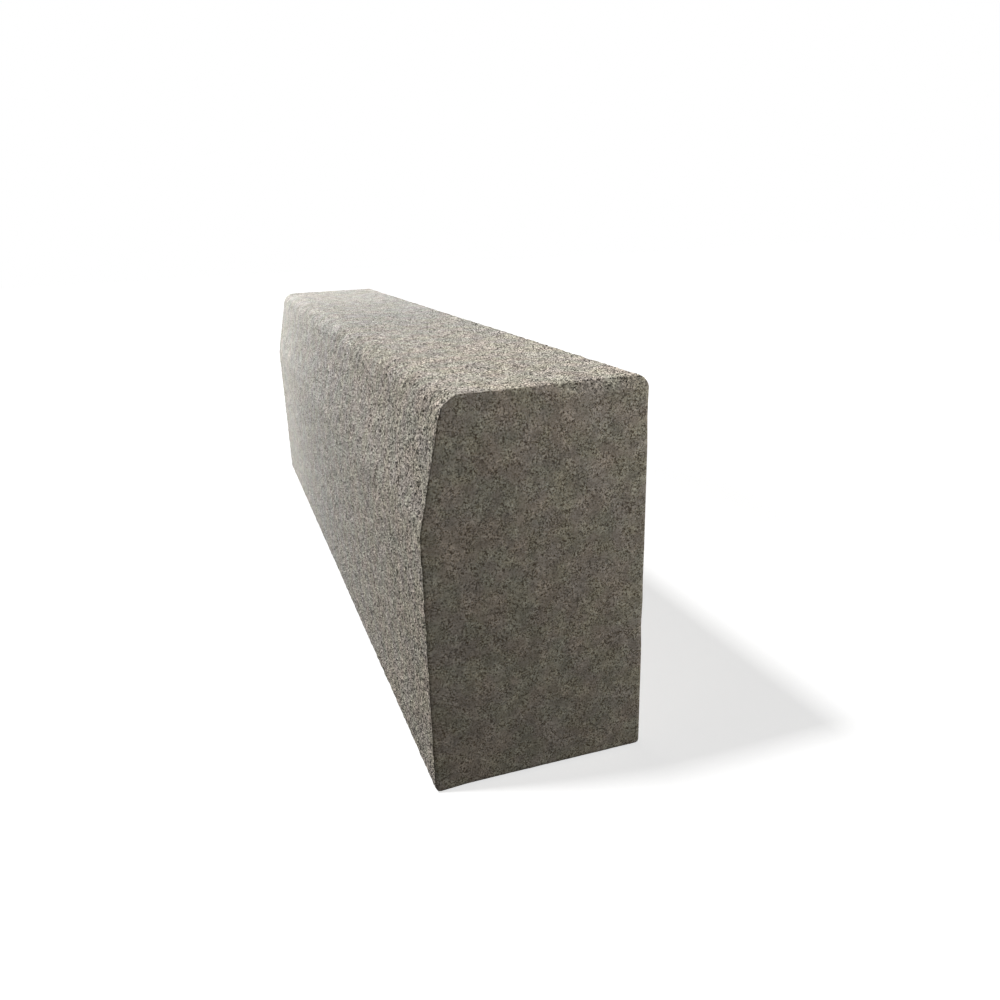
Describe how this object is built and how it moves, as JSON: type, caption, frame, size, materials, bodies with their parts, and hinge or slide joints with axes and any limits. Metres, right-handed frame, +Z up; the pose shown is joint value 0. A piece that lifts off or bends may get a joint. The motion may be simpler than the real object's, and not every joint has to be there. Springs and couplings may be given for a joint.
{
  "type": "granite kerb stone",
  "caption": "Straight half-battered kerb stone of grey granite: bush-hammered road face and top, rounded front arris, sawn bed, back and joint faces. Edges a carriageway or path.",
  "frame": {"origin": "middle of the bed, halfway along the stone and halfway between road face and back, on the floor it stands on", "axes": "+X along the run of the kerb, +Y from the road face to the back, +Z up"},
  "size_m": [0.8, 0.145, 0.255],
  "materials": {
    "granite": "matte"
  },
  "bodies": {
    "root": {"kerb_stone": "granite"}
  },
  "joints": []
}
